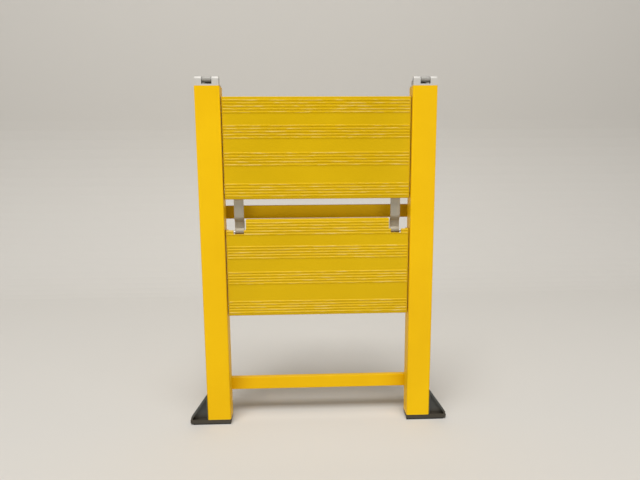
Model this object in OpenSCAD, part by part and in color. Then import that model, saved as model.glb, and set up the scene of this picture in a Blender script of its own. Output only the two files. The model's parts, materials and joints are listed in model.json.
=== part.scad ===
// Folding sawhorse: an A-frame of painted aluminium tube that carries a platform and a lower step.
// It is drawn folded flat and standing upright. +X is to the right, -Y is the front, +Z is up,
// and the origin is at floor level under the middle of the folded frame.
// Depths called "u" are measured backwards from the front face of the front legs.
// Inside a tread, "w" is the depth below the rib tops and "v" is the distance from its lower edge.

/* [Front legs] */
// Width over the two front legs
frame_w = 580; // [560:1:620]
// Width of a front leg, side to side
leg_w = 60; // [58:1:64]
// Depth of a front leg, front to back
leg_d = 40; // [39:0.5:42]
// Length of a leg tube
leg_len = 840; // [830:1:870]
// Wall of the leg tubes
leg_wall = 2; // [1.6:0.1:2.4]
// Outside corner radius of the leg tubes
leg_r = 3; // [2.5:0.5:5]

/* [Rear frame] */
// Width of a rear leg, side to side
rear_leg_w = 40; // [34:1:44]
// Depth of a rear leg, front to back
rear_leg_d = 29; // [28:1:31]
// Gap between the front and rear legs when folded
fold_gap = 1; // [0.6:0.1:2]
// Height of a crossbar's section
bar_h = 33; // [28:1:36]
// Depth of a crossbar's section
bar_d = 15; // [13:1:16]
// Height of the upper crossbar's middle
upper_bar_z = 549; // [545:1:552]
// Height of the lower crossbar's middle
lower_bar_z = 86.5; // [75:0.5:95]

/* [Opening] */
// Lean of each leg from upright when the frame is open
lean = 18; // [16:0.5:19]

/* [Treads] */
// Depth of a tread, nosing to rear edge
tread_d = 245; // [242:1:248]
// Thickness of a tread over its ribs and lips
tread_t = 25; // [24:0.5:26]
// Thickness of the tread plate
plate_t = 3; // [2.5:0.1:3.5]
// Height of the ribs above the plate
rib_h = 1; // [0.6:0.1:1.4]
// Distance between neighbouring ribs
rib_pitch = 7; // [6:0.1:7.5]
// Ribs in one group
ribs_per_group = 5; // [3:1:5]
// Distance of each rib group from the rear edge
rib_groups = [6, 66, 131, 206]; // [0:1:210]
// Distance of the rib tops behind the front legs' front faces
tread_setback = 6; // [4:0.5:7]
// Height of the lower step's lower edge, folded
step_z = 289; // [284:1:294]
// Distance from the step up to the platform
tread_spacing = 295; // [290:1:298]

/* [Link straps] */
// Width of a strap
strap_w = 24; // [20:1:25]
// Thickness of a strap
strap_t = 3; // [2.5:0.1:3]
// Middle of a strap, measured sideways from the centre
strap_x = 196; // [190:1:200]
// Distance of a strap's middle part in front of its eyes
strap_joggle = 10; // [9.5:0.1:10.5]

/* [Feet] */
// Height of a foot below its leg tube
foot_h = 13; // [12:0.5:16]
// Sideways reach of a foot beyond its leg
outrigger = 45; // [30:1:55]
// Height of the gusset's top above the floor
gusset_top_z = 81; // [60:1:90]
// Thickness of the rubber sole
sole_t = 3.5; // [2.5:0.1:4]

/* [Hidden] */
$fn = 48;

leg_yellow = "#F0B80C";
cast_grey = "#C9C6C1";
bare_metal = "#A8A196";
zinc = "#B9BBBE";
foot_grey = "#464846";
rubber_black = "#2B2B2A";

// Folded package, front to back.
folded_d = leg_d + fold_gap + rear_leg_d;
front_y = -folded_d / 2;
rear_u = leg_d + fold_gap;

// Sideways positions, all on the right-hand side.
leg_in = frame_w / 2 - leg_w;
leg_mid = frame_w / 2 - leg_w / 2;
rear_in = leg_mid - rear_leg_w / 2;
side_gap = 2.5;
end_t = 2.5;
tread_half = leg_in - side_gap;
leg_top = foot_h + leg_len;

// Hinge: a pin through two cheeks at the front of each cap, with the rear arm's knuckle between them.
cap_h = 22;
cap_inset = 1.5;
cap_plate = 4;
plug_play = 0.2;
plug_len = 35;
hinge_r = 7;
hinge_u = hinge_r;
hinge_z = leg_top + cap_h - hinge_r;
hinge_pin_d = 7;
pin_play = 0.05;
cheek_w = 16.5;
knuckle_w = 21;
arm_t = 10;

// Tread pivots: one bolt through each front leg for the platform, and one for the step.
pivot_w = 16;
pivot_v = 19.5;
pivot_u = tread_setback + pivot_w;
platform_z = step_z + tread_spacing;
bolt_d = 8;
bolt_head_d = 18;
bolt_head_h = 1.5;
nut_af = 13;
nut_t = 6.5;
nut_gap = 0.4;
washer_t = 1.9;
sleeve_od = 14;

// Tread section.
lip_t = 3;
lip_flange = 8;
nosing_r = 4;
stiffener_t = 2.5;
stiffener_h = 6;
stiffeners = [66, 126, 182];
rib_base = 4.4;
rib_top = 2.6;
rib_root = 0.2;

// Strap pins, at the same place in both treads, so that the straps and legs make a parallelogram.
eye_w = 27;
eye_v = 211;
eye_r = 6.5;
eye_u = tread_setback + eye_w;
strap_pin_d = 6;
strap_pin_head = 1.2;
open_eye_play = 0.2;
lug_t = 2.5;
lug_r = 7;
lug_gap = 2;
lug_in = strap_x - strap_w / 2 - lug_gap - lug_t;
lug_out = strap_x + strap_w / 2 + lug_gap;
upper_joggle_v = 192;
lower_joggle_v = 252;
joggle_run = 17;
cutout_d = 26;
slot_d = 10;
slot_w = strap_w + 1.6;
notch_w = 14;
cutout_in = lug_in - 1.5;

// Saddles: nylon pads under the platform that land on the upper crossbar when the frame is open.
bar_u = rear_u + rear_leg_d - bar_d - 1;
saddle_x = 150;
saddle_w = 30;
saddle_v = [218, 243];
seat_gap = 0.5;
rivet_d = 4.8;
rivet_head_d = 9;
rivet_head_h = 1.3;
rivet_len = 12;
saddle_rivet_y = front_y + tread_setback + plate_t + rib_h + 10;

// Feet: the sole is bevelled from the toe back, so that it lies flat on the floor when open.
toe_flat = 2.5;
heel_u = 25;
heel_z = (heel_u - toe_flat) * tan(lean);
gusset_flange = 4.5;
gusset_recess = 9;
gusset_web = 4;
gusset_tip_z = 20;
tip_lip = 2;
tip_r = 5;
sole_inset = 8;
foot_rivet_z = 45;
cap_rivet_z = leg_top - 12;
rivet_setback = gusset_recess + gusset_web + rivet_head_d / 2 + 3.5;

// A point turned by an angle about a centre, in the (u, z) plane.
function turned(p, centre, a) = centre + [
    (p.x - centre.x) * cos(a) - (p.y - centre.y) * sin(a),
    (p.x - centre.x) * sin(a) + (p.y - centre.y) * cos(a)
];

// The middle of the upper crossbar's top face with the frame open, seen by the folded platform.
bar_top = [bar_u + bar_d / 2, upper_bar_z + bar_h / 2];
bar_top_open = turned(bar_top, [hinge_u, hinge_z], 2 * lean);
seat = turned(bar_top_open, [pivot_u, platform_z + pivot_v], 90 - lean);

// Offsets a path to one side by half a band's thickness, with mitred corners.
function unit(p) = p / norm(p);
function side_of(p) = [-p.y, p.x];
function leg_side(path, i) = side_of(unit(path[i + 1] - path[i]));
function miter(path, i) =
    let (before = leg_side(path, max(i - 1, 0)), after = leg_side(path, min(i, len(path) - 2)))
    (before + after) / (1 + before * after);

// ---------- Helpers ----------

// Extrudes a (u, z) outline sideways, from x to x + w.
module across(x, w) {
    translate([x, front_y, 0])
        rotate([90, 0, 90])
            linear_extrude(w)
                children();
}

// Extrudes an (x, z) outline backwards, from u to u + d.
module backwards(u, d) {
    translate([0, front_y + u + d, 0])
        rotate([90, 0, 0])
            linear_extrude(d)
                children();
}

// A round bar along X at (u, z).
module round_across(x, w, u, z, d) {
    across(x, w)
        translate([u, z])
            circle(d = d);
}

module left() {
    mirror([1, 0, 0])
        children();
}

module both_sides() {
    children();
    left()
        children();
}

// Puts a piece drawn for the front legs on the rear legs, facing backwards.
module on_back() {
    mirror([0, 1, 0])
        children();
}

module rounded_box_outline(w, d, r) {
    translate([r, 0])
        square([w - 2 * r, d]);
    translate([0, r])
        square([w, d - 2 * r]);
    for (x = [r, w - r], y = [r, d - r])
        translate([x, y])
            circle(r);
}

// What a rounded outside corner leaves out of a square one.
module corner_cut(r) {
    difference() {
        square(r);
        translate([r, r])
            circle(r);
    }
}

module band(path, t) {
    last = len(path) - 1;
    polygon(concat(
        [for (i = [0 : last]) path[i] - miter(path, i) * t / 2],
        [for (i = [last : -1 : 0]) path[i] + miter(path, i) * t / 2]
    ));
}

// ---------- Legs, caps and feet ----------

// A leg tube standing on the foot, with its front face at y and its inner side at x.
module leg_tube(x, y, w, d) {
    inner_r = leg_r - leg_wall / 2;
    translate([x, y, foot_h])
        linear_extrude(leg_len)
            difference() {
                rounded_box_outline(w, d, leg_r);
                translate([leg_wall, leg_wall])
                    rounded_box_outline(w - 2 * leg_wall, d - 2 * leg_wall, inner_r);
            }
}

// The part of a cap or foot that goes inside the tube.
module plug(x, w, d, z) {
    fit = leg_wall + plug_play;
    translate([x + fit, front_y + fit, z])
        linear_extrude(plug_len)
            rounded_box_outline(w - 2 * fit, d - 2 * fit, leg_r - leg_wall / 2);
}

// The hole of a blind rivet, through a leg's outer side at x into its plug.
module rivet_hole(x, z) {
    round_across(x - rivet_len - 1, rivet_len + 2, rivet_setback, z, rivet_d + 2 * pin_play);
}

module rivet(x, z) {
    round_across(x - rivet_len, rivet_len, rivet_setback, z, rivet_d);
    round_across(x, rivet_head_h, rivet_setback, z, rivet_head_d);
}

module front_leg() {
    color(leg_yellow)
        difference() {
            leg_tube(leg_in, front_y, leg_w, leg_d);
            for (z = [platform_z, step_z])
                round_across(leg_in - 1, leg_w + 2, pivot_u, z + pivot_v, bolt_d + 0.2);
            for (z = [foot_rivet_z, cap_rivet_z])
                rivet_hole(leg_in + leg_w, z);
        }
}

module rear_leg() {
    color(leg_yellow)
        on_back()
            difference() {
                leg_tube(rear_in, front_y, rear_leg_w, rear_leg_d);
                for (z = [foot_rivet_z, cap_rivet_z])
                    rivet_hole(rear_in + rear_leg_w, z);
            }
}

module front_cap() {
    cap_in = leg_in + cap_inset;
    cap_w = leg_w - 2 * cap_inset;
    color(cast_grey)
        difference() {
            union() {
                plug(leg_in, leg_w, leg_d, leg_top - plug_len);
                across(cap_in, cap_w)
                    translate([0, leg_top])
                        square([leg_d - cap_inset, cap_plate]);
                for (x = [cap_in, cap_in + cap_w - cheek_w])
                    across(x, cheek_w) {
                        translate([hinge_u, hinge_z])
                            circle(hinge_r);
                        translate([0, leg_top])
                            square([2 * hinge_r, hinge_z - leg_top]);
                    }
            }
            round_across(cap_in - 1, cap_w + 2, hinge_u, hinge_z, hinge_pin_d + 2 * pin_play);
            rivet_hole(leg_in + leg_w, cap_rivet_z);
        }
}

module rear_cap() {
    cap_in = rear_in + cap_inset;
    cap_w = rear_leg_w - 2 * cap_inset;
    color(cast_grey)
        difference() {
            union() {
                on_back()
                    plug(rear_in, rear_leg_w, rear_leg_d, leg_top - plug_len);
                across(cap_in, cap_w)
                    translate([rear_u + cap_inset, leg_top])
                        square([rear_leg_d - 2 * cap_inset, cap_h]);
                across(leg_mid - knuckle_w / 2, knuckle_w) {
                    translate([hinge_u, hinge_z])
                        circle(hinge_r);
                    translate([hinge_u, leg_top + cap_h - arm_t])
                        square([rear_u + 2 * cap_inset - hinge_u, arm_t]);
                }
            }
            round_across(leg_mid - knuckle_w, 2 * knuckle_w, hinge_u, hinge_z,
                hinge_pin_d + 2 * pin_play);
            on_back()
                rivet_hole(rear_in + rear_leg_w, cap_rivet_z);
        }
}

module hinge_pins() {
    color(zinc)
        both_sides()
            round_across(leg_in + cap_inset, leg_w - 2 * cap_inset, hinge_u, hinge_z, hinge_pin_d);
}

// The bevelled underside, from the toe back to depth d, raised by h.
function bevel(d, h) = [[0, h], [toe_flat, h], [heel_u, heel_z + h], [d, heel_z + h]];

// The gusset's outline beside a leg whose outer face is at x, drawn smaller by the inset.
module gusset_outline(x, inset) {
    rise = gusset_top_z - gusset_tip_z;
    run = outrigger - plug_play - tip_lip;
    drop = inset * norm([rise, run]) / run;
    polygon([
        [x + inset / 2, foot_h - 1],
        [x + run - inset, foot_h - 1],
        [x + run - inset, gusset_tip_z - drop + inset * rise / run],
        [x + inset / 2, gusset_top_z - drop - inset / 2 * rise / run]
    ]);
}

// A foot for a leg of width w and depth d whose inner side is at x. Its gusset is an open-fronted rib.
module foot(x, w, d) {
    outer = x + w + plug_play;
    tip = x + w + outrigger;
    color(foot_grey)
        difference() {
            union() {
                plug(x, w, d, foot_h - 1);
                intersection() {
                    across(x, tip - x)
                        polygon(concat(bevel(d, sole_t), [[d, foot_h], [0, foot_h]]));
                    backwards(0, d) {
                        translate([x, 0])
                            square([tip - tip_r - x, foot_h]);
                        translate([x, tip_r])
                            square([tip - x, foot_h]);
                        translate([tip - tip_r, sole_t + tip_r])
                            circle(tip_r);
                    }
                }
                difference() {
                    backwards(0, gusset_recess + gusset_web)
                        gusset_outline(outer, 0);
                    backwards(-1, gusset_recess + 1)
                        gusset_outline(outer, gusset_flange);
                }
            }
            rivet_hole(x + w, foot_rivet_z);
        }
}

module sole(x, w, d) {
    color(rubber_black)
        across(x + 1, w + outrigger - sole_inset)
            polygon(concat(
                bevel(d, 0),
                [for (i = [3 : -1 : 0]) bevel(d, sole_t)[i]]
            ));
}

// ---------- Tread pivots ----------

module at_pivots() {
    for (z = [platform_z, step_z])
        translate([0, 0, z + pivot_v])
            both_sides()
                children();
}

module pivot_bolts() {
    bolt_in = tread_half - end_t - nut_gap - nut_t - 1.5;
    bolt_out = leg_in + leg_w;
    color(zinc)
        at_pivots() {
            round_across(bolt_in, bolt_out - bolt_in, pivot_u, 0, bolt_d);
            round_across(bolt_out, bolt_head_h, pivot_u, 0, bolt_head_d);
        }
}

module pivot_washers() {
    color(zinc)
        at_pivots()
            difference() {
                round_across(leg_in - washer_t, washer_t, pivot_u, 0, 18);
                round_across(leg_in - washer_t - 1, washer_t + 2, pivot_u, 0, bolt_d + 0.2);
            }
}

module pivot_nuts() {
    nut_x = tread_half - end_t - nut_gap - nut_t;
    color(zinc)
        at_pivots()
            difference() {
                across(nut_x, nut_t)
                    translate([pivot_u, 0])
                        circle(d = nut_af / cos(30), $fn = 6);
                round_across(nut_x - 1, nut_t + 2, pivot_u, 0, bolt_d + 2 * pin_play);
            }
}

module crush_sleeves() {
    color(zinc)
        at_pivots()
            difference() {
                round_across(leg_in + leg_wall, leg_w - 2 * leg_wall, pivot_u, 0, sleeve_od);
                round_across(leg_in, leg_w, pivot_u, 0, bolt_d + 0.2);
            }
}

module front_rivets() {
    color(zinc)
        both_sides()
            for (z = [foot_rivet_z, cap_rivet_z])
                rivet(leg_in + leg_w, z);
}

module rear_rivets() {
    color(zinc)
        on_back()
            both_sides()
                for (z = [foot_rivet_z, cap_rivet_z])
                    rivet(rear_in + rear_leg_w, z);
}

// ---------- Treads ----------

// Moves a (w, v) outline to a folded tread whose lower edge is at z.
module on_tread(z) {
    translate([tread_setback, z])
        children();
}

module tread_outline() {
    difference() {
        translate([rib_h, 0])
            square([tread_t - rib_h, tread_d]);
        translate([rib_h, 0])
            corner_cut(nosing_r);
        translate([rib_h, tread_d])
            mirror([0, 1])
                corner_cut(nosing_r / 2);
    }
}

module rib_outline() {
    slope = (rib_base - rib_top) / 2;
    polygon([
        [0, slope],
        [rib_h, 0],
        [rib_h + rib_root, 0],
        [rib_h + rib_root, rib_base],
        [rib_h, rib_base],
        [0, slope + rib_top]
    ]);
}

module tread_section() {
    hollow_w = rib_h + plate_t;
    difference() {
        tread_outline();
        translate([hollow_w, lip_t])
            square([tread_t - lip_t - hollow_w, tread_d - 2 * lip_t]);
        translate([hollow_w, lip_flange])
            square([tread_t, tread_d - 2 * lip_flange]);
    }
    for (v = stiffeners)
        translate([hollow_w, v])
            square([stiffener_h, stiffener_t]);
    for (start = rib_groups, i = [0 : ribs_per_group - 1])
        translate([0, tread_d - start - i * rib_pitch - rib_base])
            rib_outline();
}

module tread_body(z) {
    body_half = tread_half - end_t;
    across(-body_half, 2 * body_half)
        on_tread(z)
            tread_section();
}

module pivot_bore(z) {
    round_across(tread_half - end_t - 1, end_t + 2, pivot_u, z + pivot_v, bolt_d + 2 * pin_play);
}

// The platform's front lip is notched from behind for the straps.
module platform_tread() {
    color(leg_yellow)
        difference() {
            tread_body(platform_z);
            both_sides() {
                saddle_rivet_shank(saddle_x, 2 * pin_play);
                across(strap_x - slot_w / 2, slot_w)
                    on_tread(platform_z)
                        translate([notch_w, -1])
                            square([tread_t, lip_flange + 2]);
            }
        }
}

module platform_end() {
    color(leg_yellow)
        difference() {
            across(tread_half - end_t, end_t)
                on_tread(platform_z)
                    tread_outline();
            pivot_bore(platform_z);
        }
}

// The step is cut away at its rear corners, and slotted above each strap's eye.
module step_tread() {
    color(leg_yellow)
        difference() {
            tread_body(step_z);
            both_sides() {
                across(cutout_in, leg_in)
                    on_tread(step_z)
                        translate([-1, tread_d - cutout_d])
                            square([tread_t + 2, cutout_d + 1]);
                across(strap_x - slot_w / 2, slot_w)
                    on_tread(step_z)
                        translate([-1, tread_d - cutout_d - slot_d])
                            square([plate_t + rib_h + 2, slot_d + 1]);
            }
        }
}

module step_end() {
    color(leg_yellow)
        difference() {
            across(tread_half - end_t, end_t)
                on_tread(step_z) {
                    intersection() {
                        tread_outline();
                        square([tread_t, tread_d - cutout_d]);
                    }
                    translate([eye_w, eye_v])
                        circle(lug_r);
                }
            pivot_bore(step_z);
            round_across(tread_half - end_t - 1, end_t + 2, eye_u, step_z + eye_v,
                strap_pin_d + 2 * pin_play);
        }
}

// ---------- Straps, their brackets and pins ----------

module lug(x, z) {
    across(x, lug_t)
        on_tread(z)
            difference() {
                union() {
                    translate([eye_w, eye_v])
                        circle(lug_r);
                    translate([rib_h + plate_t, eye_v - lug_r])
                        square([eye_w - rib_h - plate_t, 2 * lug_r]);
                }
                translate([eye_w, eye_v])
                    circle(d = strap_pin_d + 2 * pin_play);
            }
}

// The flat foot of a bracket, welded under the tread plate.
module bracket_foot(x, w, z, v, d) {
    across(x, w)
        on_tread(z)
            translate([rib_h + plate_t, v])
                square([lug_t, d]);
}

module platform_bracket() {
    color(leg_yellow) {
        bracket_foot(lug_in, lug_out + lug_t - lug_in, platform_z, eye_v - lug_r, 2 * lug_r);
        lug(lug_in, platform_z);
        lug(lug_out, platform_z);
    }
}

module step_bracket() {
    foot_len = 24;
    color(leg_yellow) {
        bracket_foot(lug_in + lug_t - foot_len, foot_len, step_z, eye_v - 2 * lug_r, 1.5 * lug_r);
        lug(lug_in, step_z);
        across(lug_in, lug_t)
            on_tread(step_z)
                translate([rib_h + plate_t, eye_v - 2 * lug_r])
                    square([lug_r, 2 * lug_r]);
    }
}

// A shouldered rivet pin between x_in and x_out, headed at both ends.
module strap_pin(x_in, x_out, z) {
    head_d = strap_pin_d + 4;
    round_across(x_in, x_out - x_in, eye_u, z + eye_v, strap_pin_d);
    for (x = [x_in - strap_pin_head, x_out])
        round_across(x, strap_pin_head, eye_u, z + eye_v, head_d);
}

module platform_strap_pins() {
    color(zinc)
        both_sides()
            strap_pin(lug_in, lug_out + lug_t, platform_z);
}

module step_strap_pins() {
    color(zinc)
        both_sides()
            strap_pin(lug_in, tread_half, step_z);
}

module strap() {
    top_eye = [eye_u, platform_z + eye_v];
    low_eye = [eye_u, step_z + eye_v];
    middle_u = eye_u - strap_joggle;
    upper_z = platform_z + upper_joggle_v;
    lower_z = step_z + lower_joggle_v;
    path = [
        top_eye,
        [eye_u, upper_z],
        [middle_u, upper_z - joggle_run],
        [middle_u, lower_z],
        [eye_u, lower_z - joggle_run],
        low_eye
    ];
    color(bare_metal)
        across(strap_x - strap_w / 2, strap_w)
            difference() {
                union() {
                    band(path, strap_t);
                    for (p = [top_eye, low_eye])
                        translate(p)
                            circle(eye_r);
                }
                translate(top_eye)
                    circle(d = strap_pin_d + 2 * pin_play);
                translate(low_eye)
                    circle(d = strap_pin_d + 2 * open_eye_play);
            }
}

// ---------- Saddles ----------

// Height of the bearing face below the rib tops, at distance v along the platform.
function bearing_w(v) =
    seat.x - tread_setback - seat_gap - (v + platform_z - seat.y) * tan(lean);

module platform_saddle() {
    hollow_w = rib_h + plate_t;
    flange_w = tread_t - lip_t;
    color(foot_grey)
        difference() {
            across(saddle_x - saddle_w / 2, saddle_w)
                on_tread(platform_z) {
                    translate([hollow_w, saddle_v[0]])
                        square([flange_w - plug_play - hollow_w,
                            tread_d - lip_t - plug_play - saddle_v[0]]);
                    polygon([
                        [flange_w - 1, saddle_v[0]],
                        [bearing_w(saddle_v[0]), saddle_v[0]],
                        [bearing_w(saddle_v[1]), saddle_v[1]],
                        [tread_t, saddle_v[1]],
                        [tread_t, tread_d - lip_flange - plug_play],
                        [flange_w - 1, tread_d - lip_flange - plug_play]
                    ]);
                }
            saddle_rivet_shank(saddle_x, 2 * pin_play);
        }
}

// The shank of a saddle rivet, driven down through the rear lip at x.
module saddle_rivet_shank(x, play) {
    translate([x, saddle_rivet_y, platform_z + tread_d - rivet_len])
        cylinder(h = rivet_len, d = rivet_d + play);
}

module saddle_rivets() {
    color(zinc)
        both_sides() {
            saddle_rivet_shank(saddle_x, 0);
            translate([saddle_x, saddle_rivet_y, platform_z + tread_d])
                cylinder(h = rivet_head_h, d = rivet_head_d);
        }
}

// ---------- Rear crossbars ----------

module crossbar(z) {
    color(leg_yellow)
        across(-rear_in, 2 * rear_in)
            translate([bar_u, z - bar_h / 2])
                difference() {
                    rounded_box_outline(bar_d, bar_h, leg_r / 2);
                    translate([leg_wall, leg_wall])
                        square([bar_d - 2 * leg_wall, bar_h - 2 * leg_wall]);
                }
}

// ---------- Nodes ----------

left() front_leg();  // front_leg_left
front_leg();  // front_leg_right
left() front_cap();  // front_cap_left
front_cap();  // front_cap_right
hinge_pins();
left() foot(leg_in, leg_w, leg_d);  // front_foot_left
foot(leg_in, leg_w, leg_d);  // front_foot_right
left() sole(leg_in, leg_w, leg_d);  // front_sole_left
sole(leg_in, leg_w, leg_d);  // front_sole_right
crush_sleeves();
pivot_bolts();
pivot_washers();
pivot_nuts();
front_rivets();
platform_tread();
left() platform_end();  // platform_end_left
platform_end();  // platform_end_right
left() platform_bracket();  // platform_bracket_left
platform_bracket();  // platform_bracket_right
platform_strap_pins();
left() platform_saddle();  // platform_saddle_left
platform_saddle();  // platform_saddle_right
saddle_rivets();
step_tread();
left() step_end();  // step_end_left
step_end();  // step_end_right
left() step_bracket();  // step_bracket_left
step_bracket();  // step_bracket_right
step_strap_pins();
left() strap();  // strap_left
strap();  // strap_right
left() rear_leg();  // rear_leg_left
rear_leg();  // rear_leg_right
left() rear_cap();  // rear_cap_left
rear_cap();  // rear_cap_right
crossbar(upper_bar_z);  // upper_crossbar
crossbar(lower_bar_z);  // lower_crossbar
on_back() left() foot(rear_in, rear_leg_w, rear_leg_d);  // rear_foot_left
on_back() foot(rear_in, rear_leg_w, rear_leg_d);  // rear_foot_right
on_back() left() sole(rear_in, rear_leg_w, rear_leg_d);  // rear_sole_left
on_back() sole(rear_in, rear_leg_w, rear_leg_d);  // rear_sole_right
rear_rivets();
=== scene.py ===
"""Looks of a folding sawhorse: painted aluminium A-frame with two ribbed treads, folded flat."""
import json
import math

import bmesh
import bpy
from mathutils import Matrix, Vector


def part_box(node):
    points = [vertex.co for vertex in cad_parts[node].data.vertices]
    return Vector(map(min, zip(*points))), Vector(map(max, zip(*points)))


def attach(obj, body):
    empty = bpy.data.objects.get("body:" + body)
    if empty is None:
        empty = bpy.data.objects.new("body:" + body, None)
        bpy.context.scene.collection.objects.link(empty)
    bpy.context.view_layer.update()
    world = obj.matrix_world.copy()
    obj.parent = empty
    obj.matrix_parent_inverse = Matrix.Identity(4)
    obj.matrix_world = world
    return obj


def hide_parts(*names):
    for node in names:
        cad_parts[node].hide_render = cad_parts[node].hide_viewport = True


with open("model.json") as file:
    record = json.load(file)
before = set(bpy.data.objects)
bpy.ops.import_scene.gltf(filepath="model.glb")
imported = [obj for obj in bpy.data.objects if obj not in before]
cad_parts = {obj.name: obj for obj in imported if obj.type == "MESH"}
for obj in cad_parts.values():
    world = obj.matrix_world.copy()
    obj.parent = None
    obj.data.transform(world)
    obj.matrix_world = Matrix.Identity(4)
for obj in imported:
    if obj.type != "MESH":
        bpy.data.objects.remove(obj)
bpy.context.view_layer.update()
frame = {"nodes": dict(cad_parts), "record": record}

MM = 0.001
NODES = frame["nodes"]


# ---------- Materials ----------

def linear(hex_colour):
    """An sRGB hex colour as linear RGBA."""
    parts = [int(hex_colour[i:i + 2], 16) / 255 for i in (1, 3, 5)]
    return [c / 12.92 if c <= 0.04045 else ((c + 0.055) / 1.055) ** 2.4 for c in parts] + [1]


def add(tree, kind, inputs=None, **settings):
    """Adds a shader node, sets its properties, and fills inputs with values or with other sockets."""
    made = tree.nodes.new("ShaderNode" + kind)
    for name, value in settings.items():
        setattr(made, name, value)
    for name, value in (inputs or {}).items():
        if isinstance(value, bpy.types.NodeSocket):
            tree.links.new(value, made.inputs[name])
        else:
            made.inputs[name].default_value = value
    return made


def new_material(name):
    """An empty node material with its tree, shader and object coordinates in metres."""
    material = bpy.data.materials.new(name)
    material.use_nodes = True
    tree = material.node_tree
    place = add(tree, "TexCoord").outputs["Object"]
    return material, tree, tree.nodes["Principled BSDF"], place


def powder_coat(name, low_colour, high_colour, rib_tops_y=None):
    """Polyester powder coat on aluminium, baked on: a semi-gloss skin with orange peel.
    Given the y of a tread's rib tops, it has pale streaks there: partly wear that shoes leave, partly a
    painted highlight."""
    material, tree, shader, place = new_material(name)
    drift = add(tree, "TexNoise", {"Vector": place, "Scale": 1 / (180 * MM), "Detail": 3.0})
    tone = add(tree, "ValToRGB", {"Fac": drift.outputs["Fac"]})
    tone.color_ramp.elements[0].position, tone.color_ramp.elements[1].position = 0.3, 0.7
    tone.color_ramp.elements[0].color = linear(low_colour)
    tone.color_ramp.elements[1].color = linear(high_colour)
    # Orange peel is about 2 mm from crest to crest.
    peel = add(tree, "TexNoise", {"Vector": place, "Scale": 1 / (2 * MM), "Detail": 2.0})
    bump = add(tree, "Bump", {"Height": peel.outputs["Fac"], "Strength": 0.12, "Distance": 0.1 * MM})
    # Handling dulls the gloss in patches a hand long.
    gloss = add(tree, "MapRange", {"Value": drift.outputs["Fac"], "To Min": 0.36, "To Max": 0.46})
    colour = tone.outputs["Color"]
    if rib_tops_y is not None:
        # The pale streaks are 2 mm high and about 30 mm long, and lie along the ribs: partly scuff marks,
        # partly a painted highlight.
        depth = add(tree, "SeparateXYZ", {"Vector": place}).outputs["Y"]
        on_top = add(tree, "MapRange", {"Value": depth, "From Min": rib_tops_y + 0.1 * MM,
                                        "From Max": rib_tops_y + 0.4 * MM, "To Min": 0.5, "To Max": 0.0})
        stretch = add(tree, "Mapping", {"Vector": place, "Scale": (2 / 30, 1.0, 1.0)})
        scuff_and_highlight_noise = add(tree, "TexNoise", {"Vector": stretch.outputs["Vector"], "Scale": 1 / (2 * MM),
                                        "Detail": 3.0})
        strong = add(tree, "MapRange", {"Value": scuff_and_highlight_noise.outputs["Fac"], "From Min": 0.5, "From Max": 0.68})
        share = add(tree, "Math", {0: on_top.outputs["Result"], 1: strong.outputs["Result"]},
                    operation="MULTIPLY")
        scuff_and_highlight_mix = add(tree, "MixRGB", {"Fac": share.outputs["Value"], "Color1": colour,
                                       "Color2": linear("#F2DC94")})
        colour = scuff_and_highlight_mix.outputs["Color"]
    tree.links.new(colour, shader.inputs["Base Color"])
    tree.links.new(gloss.outputs["Result"], shader.inputs["Roughness"])
    tree.links.new(bump.outputs["Normal"], shader.inputs["Normal"])
    shader.inputs["IOR"].default_value = 1.5
    shader.inputs["Specular IOR Level"].default_value = 0.15
    return material


def die_cast(name, colour):
    """Aluminium die casting, tumbled: pale, satin, with a fine pebbled skin, and painted shade in the
    hinge's recess.
    """
    material, tree, shader, place = new_material(name)
    cap_low, cap_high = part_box("front_cap_right")
    pin_low, pin_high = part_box("hinge_pins")
    where = add(tree, "SeparateXYZ", {"Vector": place}).outputs
    sideways = add(tree, "Math", {0: where["X"]}, operation="ABSOLUTE")
    from_middle = add(tree, "Math", {0: sideways.outputs["Value"], 1: (cap_low.x + cap_high.x) / 2},
                      operation="SUBTRACT")
    off_middle = add(tree, "Math", {0: from_middle.outputs["Value"]}, operation="ABSOLUTE")
    # The hinge's recess is 24 mm wide. Painted shade darkens it below the pin and behind it, standing in
    # for the shade of the deep recess.
    in_recess = add(tree, "MapRange", {"Value": off_middle.outputs["Value"], "From Min": 11.9 * MM,
                                       "From Max": 12.1 * MM, "To Min": 1.0, "To Max": 0.0})
    below_pin = add(tree, "MapRange", {"Value": where["Z"], "From Min": pin_low.z - 1 * MM,
                                       "From Max": pin_high.z + 1 * MM, "To Min": 1.0, "To Max": 0.0})
    behind_face = add(tree, "MapRange", {"Value": where["Y"], "From Min": cap_low.y + 0.5 * MM,
                                         "From Max": cap_low.y + 1.5 * MM})
    # The rear casting's block starts 4 mm behind the front casting.
    ahead_of_block = add(tree, "MapRange", {"Value": where["Y"], "To Min": 1.0, "To Max": 0.0,
                                            "From Min": cap_high.y + 4.2 * MM,
                                            "From Max": cap_high.y + 4.6 * MM})
    painted_recess_shade = in_recess
    for bound in (below_pin, behind_face, ahead_of_block):
        painted_recess_shade = add(tree, "Math", {0: painted_recess_shade.outputs[0], 1: bound.outputs[0]}, operation="MULTIPLY")
    # A darker grey is mixed in where the recess lies, as painted shade.
    tone = add(tree, "MixRGB", {"Fac": painted_recess_shade.outputs["Value"], "Color1": linear(colour),
                                "Color2": linear("#7C7A73")})
    grain = add(tree, "TexNoise", {"Vector": place, "Scale": 1 / (0.8 * MM), "Detail": 3.0})
    rough = add(tree, "MapRange", {"Value": grain.outputs["Fac"], "To Min": 0.55, "To Max": 0.72})
    bump = add(tree, "Bump", {"Height": grain.outputs["Fac"], "Strength": 0.2, "Distance": 0.05 * MM})
    shader.inputs["Metallic"].default_value = 0.25
    tree.links.new(tone.outputs["Color"], shader.inputs["Base Color"])
    tree.links.new(rough.outputs["Result"], shader.inputs["Roughness"])
    tree.links.new(bump.outputs["Normal"], shader.inputs["Normal"])
    return material


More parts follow.
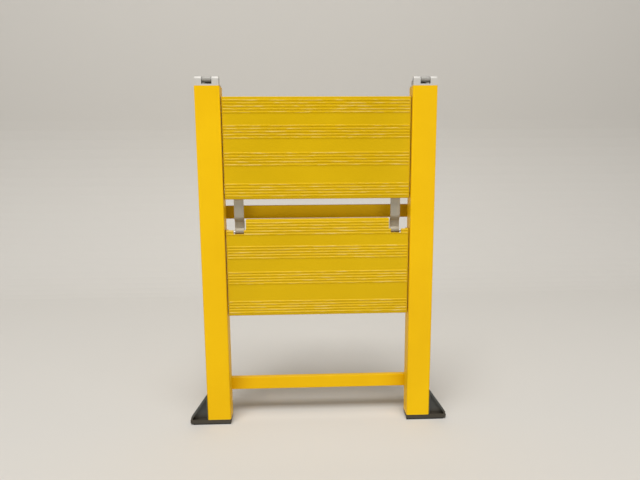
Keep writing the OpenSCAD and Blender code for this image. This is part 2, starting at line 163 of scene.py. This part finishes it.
def mill_bar():
    """Mill-finish aluminium flat bar: long draw lines that dull its reflection."""
    material, tree, shader, place = new_material("mill_finish_flat_bar")
    shader.inputs["Metallic"].default_value = 0.6
    shader.inputs["Base Color"].default_value = linear("#B6B0A0")
    # Draw lines are 0.3 mm wide and run along the bar, which is upright.
    stretch = add(tree, "Mapping", {"Vector": place, "Scale": (1.0, 1.0, 0.01)})
    lines = add(tree, "TexNoise", {"Vector": stretch.outputs["Vector"], "Scale": 1 / (0.3 * MM)})
    rough = add(tree, "MapRange", {"Value": lines.outputs["Fac"], "To Min": 0.55, "To Max": 0.7})
    bump = add(tree, "Bump", {"Height": lines.outputs["Fac"], "Strength": 0.15, "Distance": 0.02 * MM})
    tree.links.new(rough.outputs["Result"], shader.inputs["Roughness"])
    tree.links.new(bump.outputs["Normal"], shader.inputs["Normal"])
    return material


def zinc_plate():
    """Bright zinc-plated steel: cool, fairly sharp reflections with a cloudy variation."""
    material, tree, shader, place = new_material("bright_zinc_plate")
    shader.inputs["Metallic"].default_value = 1.0
    shader.inputs["Base Color"].default_value = linear("#C4C6C9")
    cloud = add(tree, "TexNoise", {"Vector": place, "Scale": 1 / (4 * MM), "Detail": 3.0})
    rough = add(tree, "MapRange", {"Value": cloud.outputs["Fac"], "To Min": 0.22, "To Max": 0.38})
    tree.links.new(rough.outputs["Result"], shader.inputs["Roughness"])
    return material


def moulded_nylon():
    """Glass-filled nylon, injection moulded in a spark-eroded tool: dark, with a fine matt grain."""
    material, tree, shader, place = new_material("moulded_grey_nylon")
    drift = add(tree, "TexNoise", {"Vector": place, "Scale": 1 / (25 * MM), "Detail": 4.0})
    tone = add(tree, "ValToRGB", {"Fac": drift.outputs["Fac"]})
    tone.color_ramp.elements[0].position, tone.color_ramp.elements[1].position = 0.35, 0.7
    tone.color_ramp.elements[0].color = linear("#454743")
    tone.color_ramp.elements[1].color = linear("#52534E")
    # Brown floor dust clings to the lowest 16 mm and thins out by 30 mm.
    height = add(tree, "SeparateXYZ", {"Vector": place}).outputs["Z"]
    dusty = add(tree, "MapRange", {"Value": height, "From Min": 16 * MM, "From Max": 30 * MM,
                                   "To Min": 0.85, "To Max": 0.0})
    dust = add(tree, "MixRGB", {"Fac": dusty.outputs["Result"], "Color1": tone.outputs["Color"],
                                "Color2": linear("#3C3425")})
    grain = add(tree, "TexNoise", {"Vector": place, "Scale": 1 / (0.7 * MM), "Detail": 2.0})
    bump = add(tree, "Bump", {"Height": grain.outputs["Fac"], "Strength": 0.25, "Distance": 0.06 * MM})
    shader.inputs["Roughness"].default_value = 0.55
    shader.inputs["IOR"].default_value = 1.53
    tree.links.new(dust.outputs["Color"], shader.inputs["Base Color"])
    tree.links.new(bump.outputs["Normal"], shader.inputs["Normal"])
    return material


def sole_rubber():
    """Moulded rubber: near black and matt, with a patchy film of dust."""
    material, tree, shader, place = new_material("moulded_sole_rubber")
    dust = add(tree, "TexNoise", {"Vector": place, "Scale": 1 / (12 * MM), "Detail": 6.0})
    tone = add(tree, "ValToRGB", {"Fac": dust.outputs["Fac"]})
    tone.color_ramp.elements[0].position, tone.color_ramp.elements[1].position = 0.45, 0.75
    tone.color_ramp.elements[0].color = linear("#272726")
    tone.color_ramp.elements[1].color = linear("#3B3935")
    shader.inputs["Roughness"].default_value = 0.8
    shader.inputs["IOR"].default_value = 1.52
    tree.links.new(tone.outputs["Color"], shader.inputs["Base Color"])
    return material


FINISHES = {
    "powder_coat": powder_coat("yellow_powder_coat_on_tube", "#F4BF00", "#FBC802"),
    "cast_hinge": die_cast("tumbled_die_casting", "#CECBC4"),
    "bare_strap": mill_bar(),
    "zinc_fastener": zinc_plate(),
    "moulded_foot": moulded_nylon(),
    "rubber_sole": sole_rubber(),
}
# The rear castings are darker than the front ones: painted shade for the deep hinge gap they are seen
# through. The treads and the upper crossbar are darker than the legs, partly as painted shade (most on the
# upper crossbar, behind the platform), and a little greener, as a coat from another batch can be.
REAR_CASTING_PAINTED_SHADE = die_cast("rear_die_casting_painted_shade", "#A8A59E")
EXTRUSION_COAT = powder_coat("yellow_powder_coat_on_extrusion", "#D8AF00", "#E0B702",
                             rib_tops_y=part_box("platform_tread")[0].y)
CROSSBAR_COAT = powder_coat("yellow_powder_coat_on_crossbar", "#DDB600", "#E4BD02")
EXTRUSIONS = ("platform_tread", "platform_end", "platform_bracket", "step_tread", "step_end",
              "step_bracket")


# ---------- Mesh helpers ----------

def new_mesh(name, points, faces, smooth=False):
    """A mesh object linked to the scene, in metres, with its faces turned outwards."""
    mesh = bpy.data.meshes.new(name)
    mesh.from_pydata(points, [], faces)
    shape = bmesh.new()
    shape.from_mesh(mesh)
    bmesh.ops.recalc_face_normals(shape, faces=shape.faces)
    shape.to_mesh(mesh)
    shape.free()
    mesh.polygons.foreach_set("use_smooth", [smooth] * len(mesh.polygons))
    if smooth:
        mesh.set_sharp_from_angle(angle=math.radians(35))
    made = bpy.data.objects.new(name, mesh)
    bpy.context.scene.collection.objects.link(made)
    return made


def skin(rings, looped=False):
    """Points and faces of a closed skin through rings of equally many points, capped or looped round."""
    count = len(rings[0])
    points = [point for ring in rings for point in ring]
    faces = []
    for k in range(len(rings) if looped else len(rings) - 1):
        here, there = k * count, (k + 1) % len(rings) * count
        for i in range(count):
            j = (i + 1) % count
            faces.append((here + i, here + j, there + j, there + i))
    if not looped:
        faces += [tuple(range(count)), tuple(range(len(points) - count, len(points)))]
    return points, faces


def joined(name, body, slot, solids, replaced=None):
    """One piece made of several closed skins, finished, riding on its body."""
    points, faces = [], []
    for solid_points, solid_faces in solids:
        start = len(points)
        points += solid_points
        faces += [tuple(start + i for i in face) for face in solid_faces]
    piece = new_mesh(name, points, faces, smooth=True)
    piece.data.materials.append(FINISHES[slot])
    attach(piece, body)
    if replaced:
        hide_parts(replaced)
    return piece


def turned(profile, base, axis, looped=False, segments=48):
    """A turned solid. The profile lists (distance along the axis, radius), in mm, from the base.
    A radius may be a function of the angle, for a hexagon or a thread."""
    axis = Vector(axis)
    side = Vector((0, 1, 0))
    up = axis.cross(side)
    rings = []
    for distance, radius in profile:
        ring = []
        for i in range(segments):
            angle = 2 * math.pi * i / segments
            r = radius(angle) if callable(radius) else radius
            outward = side * math.cos(angle) + up * math.sin(angle)
            ring.append(Vector(base) + (axis * distance + outward * r) * MM)
        rings.append(ring)
    return skin(rings, looped)


def hexagon(across_flats, most=math.inf):
    """The radius of a hexagon at each angle, cut down to a round one where a chamfer takes its corners."""
    sixth = math.pi / 3
    return lambda a: min(across_flats / 2 / math.cos((a + sixth / 2) % sixth - sixth / 2), most)


def thread(distance, radius, pitch, depth):
    """The radius of a screw thread at each angle, at a distance along it."""
    return lambda a: radius - depth * abs(2 * ((distance / pitch + a / (2 * math.pi)) % 1) - 1)


def middle(node):
    """The middle of a node's box."""
    low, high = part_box(node)
    return (Vector(low) + Vector(high)) / 2


# ---------- Parts carried over from the frame ----------

def soften(piece, width, segments=3):
    """Rounds a part's sharp edges, as tumbling, paint or a mould radius leaves them."""
    weld = piece.modifiers.new("weld", "WELD")
    weld.merge_threshold = 0.001 * MM
    flat = piece.modifiers.new("flat_faces", "DECIMATE")
    flat.decimate_type, flat.angle_limit = "DISSOLVE", math.radians(0.5)
    bevel = piece.modifiers.new("edge_radius", "BEVEL")
    bevel.width, bevel.segments = width, segments
    bevel.limit_method, bevel.angle_limit = "ANGLE", math.radians(30)
    bevel.harden_normals = True


EDGE_RADIUS = {
    "powder_coat": 0.4 * MM,
    "cast_hinge": 0.9 * MM,
    "bare_strap": 0.5 * MM,
    "zinc_fastener": 0.3 * MM,
    "moulded_foot": 0.7 * MM,
    "rubber_sole": 0.5 * MM,
}

for subpart in frame["record"]["subparts"]:
    part = NODES[subpart["node"]]
    slot = subpart["material_slot"]
    part.data.materials.clear()
    finish = FINISHES[slot]
    # The treads' coat is darker than the legs' partly as painted shade for the slight shade they sit in;
    # its greener tone is another batch of coat.
    if subpart["node"].startswith(EXTRUSIONS):
        finish = EXTRUSION_COAT
    # The upper crossbar's coat is darker than the lower crossbar's: painted shade for the shade it lies in
    # behind the platform.
    if subpart["node"] == "upper_crossbar":
        finish = CROSSBAR_COAT
    # The rear castings take a darker copy of the casting finish, as painted shade for the deep gap they are
    # seen through.
    if subpart["node"].startswith("rear_cap"):
        finish = REAR_CASTING_PAINTED_SHADE
    part.data.materials.append(finish)
    soften(part, EDGE_RADIUS[slot])


# ---------- Fasteners ----------

WASHER_RADIUS = 9 * MM
RIVET_HEAD_RADIUS = 4.5 * MM
LEG_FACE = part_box("front_leg_right")[1].x
PIVOT_Y = middle("pivot_bolts").y
WASHERS_LOW, WASHERS_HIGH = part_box("pivot_washers")
PIVOT_HEIGHTS = [WASHERS_LOW.z + WASHER_RADIUS, WASHERS_HIGH.z - WASHER_RADIUS]
NUT_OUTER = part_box("pivot_nuts")[1].x


def pivot_bolt(side, z):
    """A bolt with a low domed head, a hexagon socket and an 8 mm thread, put in from a leg's outer side."""
    pitch, thread_len, past_nut_face = 1.25, 14, 8
    shank_len = (LEG_FACE - NUT_OUTER) / MM + past_nut_face
    rings_per_turn = 5
    socket = [(-1.4, 0.4), (-1.4, hexagon(5)), (1.1, hexagon(5)), (1.5, hexagon(5.6))]
    head = [(1.5, 6.0), (1.2, 7.6), (0.7, 8.7), (0.3, 9.0), (0, 8.9)]
    profile = socket + head + [(0, 4.2), (-0.4, 4.0), (thread_len - shank_len, 4.0)]
    for k in range(int(thread_len / pitch * rings_per_turn)):
        t = k * pitch / rings_per_turn
        profile.append((thread_len - shank_len - t, thread(t, 4.0, pitch, 0.6)))
    profile += [(-shank_len + 0.3, 3.4), (-shank_len, 2.9)]
    return turned(profile, (side * LEG_FACE, PIVOT_Y, z), (side, 0, 0))


def pivot_nut(side, z):
    """A lock nut with a chamfered hexagon and a crimped collar."""
    flats, chamfered = hexagon(13), hexagon(13, 6.3)
    nut = [(0, 4.06), (0, chamfered), (0.6, flats), (4.6, flats), (5.1, chamfered)]
    collar = [(5.2, 6.0), (6.1, 5.9), (6.5, 5.4), (6.5, 4.3), (6.3, 4.06)]
    return turned(nut + collar, (side * NUT_OUTER, PIVOT_Y, z), (-side, 0, 0), looped=True)


def blind_rivet(base, axis):
    """A blind rivet: a domed head with the mandrel's hole in it."""
    body = [(-11.5, 2.0), (-11, 2.4), (0, 2.4)]
    head = [(0, 4.5), (0.35, 4.45), (0.8, 3.9), (1.1, 3.0), (1.25, 2.0)]
    mandrel_hole = [(1.25, 1.5), (0.9, 1.2), (0.4, 1.1), (0.4, 0.3)]
    return turned(body + head + mandrel_hole, base, axis)


def headed_pin(x_in, x_out, side, y, z, radius, head_r, head_h):
    """A pin along X whose two ends are spun over into low domes."""
    length = abs(x_out - x_in) / MM
    dome = [(0, head_r), (0.35, head_r), (0.75, head_r * 0.85), (1, head_r * 0.5)]
    profile = [(-head_h * t, r) for t, r in reversed(dome)] + [(0, radius), (length, radius)]
    profile += [(length + head_h * t, r) for t, r in dome]
    return turned(profile, (side * x_in, y, z), (side, 0, 0))


def fasteners():
    """Every bolt, nut, rivet and pin, each group standing for its node in the frame."""
    places = [(side, z) for side in (-1, 1) for z in PIVOT_HEIGHTS]
    bolts = [pivot_bolt(side, z) for side, z in places]
    joined("domed_pivot_bolts", "front_frame", "zinc_fastener", bolts, "pivot_bolts")
    nuts = [pivot_nut(side, z) for side, z in places]
    joined("collared_lock_nuts", "front_frame", "zinc_fastener", nuts, "pivot_nuts")
    for end, body in (("front", "front_frame"), ("rear", "rear_frame")):
        low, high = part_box(end + "_rivets")
        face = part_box(end + "_leg_right")[1].x
        heights = (low.z + RIVET_HEAD_RADIUS, high.z - RIVET_HEAD_RADIUS)
        rivets = [blind_rivet((side * face, (low.y + high.y) / 2, z), (side, 0, 0))
                  for side in (-1, 1) for z in heights]
        joined(end + "_blind_rivets", body, "zinc_fastener", rivets, end + "_rivets")
    low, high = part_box("saddle_rivets")
    deck_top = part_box("platform_tread")[1].z
    rivets = [blind_rivet((x, (low.y + high.y) / 2, deck_top), (0, 0, 1))
              for x in (low.x + RIVET_HEAD_RADIUS, high.x - RIVET_HEAD_RADIUS)]
    joined("saddle_blind_rivets", "platform", "zinc_fastener", rivets, "saddle_rivets")
    cap_low, cap_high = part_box("front_cap_right")
    pin = middle("hinge_pins")
    pins = [headed_pin(cap_low.x, cap_high.x, side, pin.y, pin.z, 3.5, 4.6, 1.0) for side in (-1, 1)]
    joined("spun_hinge_pins", "front_frame", "zinc_fastener", pins, "hinge_pins")
    bracket_low, bracket_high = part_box("platform_bracket_right")
    step_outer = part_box("step_end_right")[1].x
    places = (("platform", "platform", bracket_high.x), ("step", "lower_step", step_outer))
    for tread, body, outer in places:
        pin = middle(tread + "_strap_pins")
        pins = [headed_pin(bracket_low.x, outer, side, pin.y, pin.z, 3.0, 5.0, 1.2) for side in (-1, 1)]
        joined(tread + "_spun_pins", body, "zinc_fastener", pins, tread + "_strap_pins")


fasteners()


# ---------- Link straps ----------

def eased(start, end, lead, steps=10):
    """A smooth step from one (y, z) point to another that leaves and arrives along Z."""
    (y0, z0), (y1, z1) = start, end
    handles = [(y0, z0), (y0, z0 + lead), (y1, z1 - lead), (y1, z1)]
    points = []
    for k in range(1, steps + 1):
        t = k / steps
        weights = [(1 - t) ** 3, 3 * t * (1 - t) ** 2, 3 * t * t * (1 - t), t ** 3]
        points.append(tuple(sum(w * h[axis] for w, h in zip(weights, handles)) for axis in (0, 1)))
    return points


def rolled_eye(eye, facing, steps=28):
    """The centre line of an eye rolled round its pin, from the free end to where the strap leaves it."""
    radius, free_angle, leave_angle = 4.65 * MM, 60, -205
    points = []
    for k in range(steps + 1):
        a = math.radians(free_angle + (leave_angle - free_angle) * k / steps)
        points.append((eye[0] + radius * math.cos(a), eye[1] + facing * radius * math.sin(a)))
    return points


def link_strap(side):
    """Flat bar with rounded edges and, at each end, an eye rolled round its pin and a joggle."""
    name = "left" if side < 0 else "right"
    low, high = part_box("strap_" + name)
    eye_r = 6.5 * MM
    half_w, half_t, corner = (high.x - low.x) / 2, 1.5 * MM, 0.7 * MM
    eye_y = high.y - eye_r
    front_y = low.y + half_t
    low_eye, top_eye = (eye_y, low.z + eye_r), (eye_y, high.z - eye_r)
    # Distances along the strap from the nearer eye. The upper joggle starts closer to its eye.
    throat, lower_start, lower_end = 12 * MM, 24 * MM, 41 * MM
    upper_start, upper_end = 19 * MM, 36 * MM
    throat_lead, joggle_lead = 3 * MM, 6 * MM
    centre_line = rolled_eye(low_eye, 1)
    centre_line += eased(centre_line[-1], (eye_y, low_eye[1] + throat), throat_lead)
    centre_line += eased((eye_y, low_eye[1] + lower_start), (front_y, low_eye[1] + lower_end), joggle_lead)
    centre_line += eased((front_y, top_eye[1] - upper_end), (eye_y, top_eye[1] - upper_start), joggle_lead)
    upper = rolled_eye(top_eye, -1)[::-1]
    centre_line += eased((eye_y, top_eye[1] - throat), upper[0], throat_lead)
    centre_line += upper[1:]
    section = []
    for quarter, (sx, sn) in enumerate(((1, 1), (-1, 1), (-1, -1), (1, -1))):
        for k in range(4):
            a = math.radians(90 * quarter + 30 * k)
            section.append((sx * (half_w - corner) + corner * math.cos(a),
                            sn * (half_t - corner) + corner * math.sin(a)))
    rings = []
    middle_x = (low.x + high.x) / 2
    for k, (y, z) in enumerate(centre_line):
        before, after = centre_line[max(k - 1, 0)], centre_line[min(k + 1, len(centre_line) - 1)]
        along = Vector((after[0] - before[0], after[1] - before[1])).normalized()
        rings.append([Vector((middle_x + x, y + along.y * n, z - along.x * n)) for x, n in section])
    joined("link_strap_" + name, "link_strap_" + name, "bare_strap", [skin(rings)], "strap_" + name)


for side in (-1, 1):
    link_strap(side)


# ---------- Welds ----------

def weld_bead(path, radius, looped=False):
    """A weld bead along a path of points: one ripple every 1.6 mm, each a puddle that froze."""
    ripple, step, sides = 1.6 * MM, 0.4 * MM, 8
    stations = []
    corners = path + [path[0]] if looped else path
    for start, end in zip(corners, corners[1:]):
        count = max(2, round((end - start).length / step))
        stations += [start.lerp(end, k / count) for k in range(count)]
    if not looped:
        stations.append(corners[-1])
    rings, travelled = [], 0.0
    for k, place in enumerate(stations):
        before = stations[k - 1] if k or looped else stations[0]
        after = stations[(k + 1) % len(stations)] if k + 1 < len(stations) or looped else stations[-1]
        along = (after - before).normalized()
        travelled += (place - before).length if k else 0.0
        swell = 1 + 0.12 * math.cos(2 * math.pi * travelled / ripple)
        if not looped:
            # An open bead tapers to a third of its size at its ends.
            to_end = min(k, len(stations) - 1 - k) * step
            swell *= min(1.0, 0.35 + 0.65 * to_end / (2 * radius))
        side = Vector((1, 0, 0)) if abs(along.x) < 0.9 else Vector((0, 1, 0))
        across = (side - along * side.dot(along)).normalized()
        up = along.cross(across)
        rings.append([place + (across * math.cos(a) + up * math.sin(a)) * radius * swell
                      for a in (2 * math.pi * i / sides for i in range(sides))])
    return skin(rings, looped)


def crossbar_welds():
    """Fillet welds round both ends of both crossbars, where they meet the rear legs."""
    beads = []
    leg_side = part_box("rear_leg_right")[0].x
    # A bead's middle is sunk this far into the crossbar, and stands this far off the leg.
    inset, off_leg = 0.8 * MM, 1.0 * MM
    for bar in ("upper_crossbar", "lower_crossbar"):
        low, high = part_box(bar)
        ys = (low.y + inset, high.y - inset)
        zs = (low.z + inset, high.z - inset)
        for side in (-1, 1):
            x = side * (leg_side - off_leg)
            loop = [Vector((x, ys[0], zs[0])), Vector((x, ys[1], zs[0])),
                    Vector((x, ys[1], zs[1])), Vector((x, ys[0], zs[1]))]
            beads.append(weld_bead(loop, 1.6 * MM, looped=True))
    joined("crossbar_welds", "rear_frame", "powder_coat", beads)


def tread_welds(tread, body):
    """Stitch welds inside a tread, between its plate and its end plates, and at the platform's brackets."""
    low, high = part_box(tread + "_tread")
    end_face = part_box(tread + "_end_right")[0].x
    # A tread's plate and ribs are 4 mm deep together, and a bead's middle is 0.5 mm clear of both faces.
    clear = 0.5 * MM
    bead_y = low.y + 4 * MM + clear
    stitch = Vector((0, 0, 13 * MM))
    beads = []
    for side in (-1, 1):
        for share in (0.2, 0.5, 0.8):
            start = Vector((side * (end_face - clear), bead_y, low.z + share * (high.z - low.z)))
            beads.append(weld_bead([start, start + stitch], 1.7 * MM))
        if tread == "platform":
            foot_low, foot_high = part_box("platform_bracket_right")
            margin = 2 * MM
            for z in (foot_low.z, foot_high.z):
                left = Vector((side * (foot_low.x + margin), bead_y, z))
                right = Vector((side * (foot_high.x - margin), bead_y, z))
                beads.append(weld_bead([left, right], 1.4 * MM))
    joined(tread + "_welds", body, "powder_coat", beads)


crossbar_welds()
tread_welds("platform", "platform")
tread_welds("step", "lower_step")


# ---------- Stage, light and camera ----------

def studio():
    """A pale floor that sweeps up behind the object, a broad ceiling light and two weak side lights."""
    half_width, front_y, sweep_y, sweep_radius, top_z = 6.0, -6.0, 1.2, 1.0, 4.0
    outline = [(front_y, 0.0)]
    steps = 24
    for i in range(steps + 1):
        turn = math.radians(90 * i / steps)
        outline.append((sweep_y + sweep_radius * math.sin(turn), sweep_radius * (1 - math.cos(turn))))
    outline.append((sweep_y + sweep_radius, top_z))
    points = [(side * half_width, y, z) for y, z in outline for side in (-1, 1)]
    faces = [(2 * i, 2 * i + 1, 2 * i + 3, 2 * i + 2) for i in range(len(outline) - 1)]
    sweep = new_mesh("floor_sweep", points, faces)
    paint = bpy.data.materials.new("pale_floor")
    paint.use_nodes = True
    shader = paint.node_tree.nodes["Principled BSDF"]
    shader.inputs["Base Color"].default_value = linear("#CFCBC4")
    shader.inputs["Roughness"].default_value = 0.85
    sweep.data.materials.append(paint)

    def lamp(name, place, aim, size, power):
        light = bpy.data.lights.new(name, "AREA")
        light.size, light.energy = size, power
        holder = bpy.data.objects.new(name, light)
        bpy.context.scene.collection.objects.link(holder)
        holder.location = place
        holder.rotation_euler = (Vector(aim) - Vector(place)).to_track_quat("-Z", "Y").to_euler()

    lamp("ceiling", (-0.5, -2.9, 8.0), (0, 0, 0.3), 4.4, 690)
    lamp("left_fill", (-2.0, -2.4, 0.9), (0, 0, 0.2), 1.6, 15)
    lamp("right_fill", (2.0, -2.4, 0.9), (0, 0, 0.2), 1.6, 15)
    world = bpy.data.worlds.new("studio")
    bpy.context.scene.world = world
    world.use_nodes = True
    world.node_tree.nodes["Background"].inputs["Color"].default_value = linear("#E6E6E6")
    world.node_tree.nodes["Background"].inputs["Strength"].default_value = 0.1


def camera():
    """A wide lens 0.65 m above the floor, looking slightly down."""
    data = bpy.data.cameras.new("camera")
    data.lens, data.sensor_width = 27.0, 36.0
    holder = bpy.data.objects.new("camera", data)
    bpy.context.scene.collection.objects.link(holder)
    holder.location = (-0.0377, -1.2134, 0.6534)
    tilt, roll, pan = 81.75, 0.40, -2.13
    holder.rotation_euler = [math.radians(a) for a in (tilt, roll, pan)]
    bpy.context.scene.camera = holder
    bpy.context.scene.view_settings.view_transform = "Standard"


studio()
camera()
